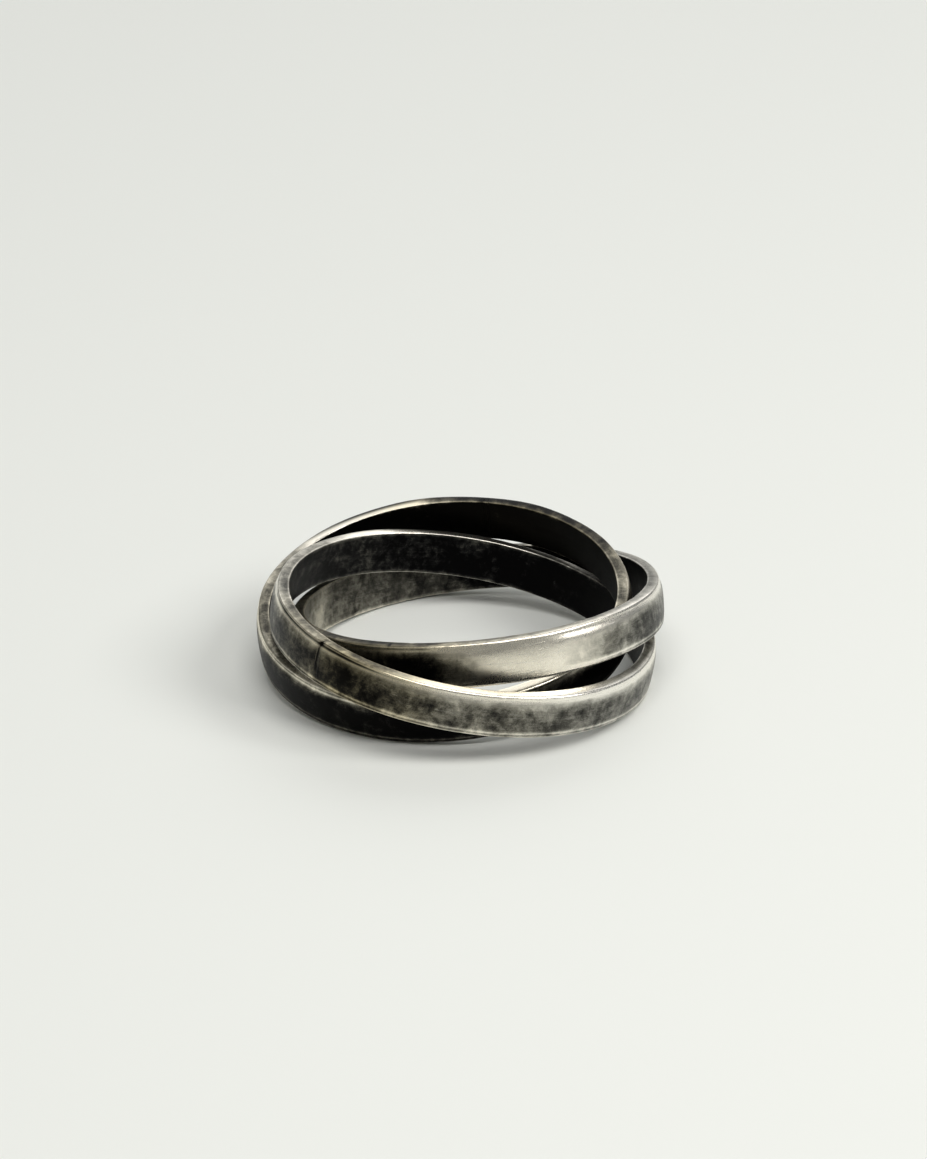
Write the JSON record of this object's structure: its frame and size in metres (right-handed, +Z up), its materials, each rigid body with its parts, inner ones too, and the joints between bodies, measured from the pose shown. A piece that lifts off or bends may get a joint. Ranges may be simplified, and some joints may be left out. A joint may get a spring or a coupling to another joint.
{
  "type": "linked-band puzzle ring",
  "caption": "Finger ring puzzle of closed flat silver bands linked through each other, fanned loosely on a table.",
  "frame": {"origin": "on the surface that the ring rests on, under the middle of its bounding box", "axes": "+Z up through the finger opening, +Y towards the back, +X to the right"},
  "size_m": [0.0228, 0.0232, 0.0061],
  "materials": {
    "main_band_silver": "worn sterling silver with fine scratches and grey-brown oxidation",
    "upper_band_silver": "worn sterling silver with fine scratches and dark oxidation inside",
    "outer_band_silver": "worn sterling silver, more darkly oxidised on its outer face",
    "silver_solder": "hard silver solder, filed flush"
  },
  "bodies": {
    "main_band": {"main_band": "main_band_silver", "main_band_solder_joint": "silver_solder"},
    "upper_band": {"upper_band": "upper_band_silver", "upper_band_solder_joint": "silver_solder"},
    "outer_band": {"outer_band": "outer_band_silver", "outer_band_solder_joint": "silver_solder"}
  },
  "joints": [
    {"name": "upper_band_fan", "type": "hinge", "parent": "main_band", "child": "upper_band", "pos_m": [0.00097, 0.00126, 0.00306], "axis": [-0.8746, -0.4848, 0], "range_deg": [0, 55]},
    {"name": "outer_band_fan", "type": "hinge", "parent": "main_band", "child": "outer_band", "pos_m": [-0.00086, 0.00101, 0.00306], "axis": [0.9272, -0.3746, 0], "range_deg": [0, 55]}
  ]
}
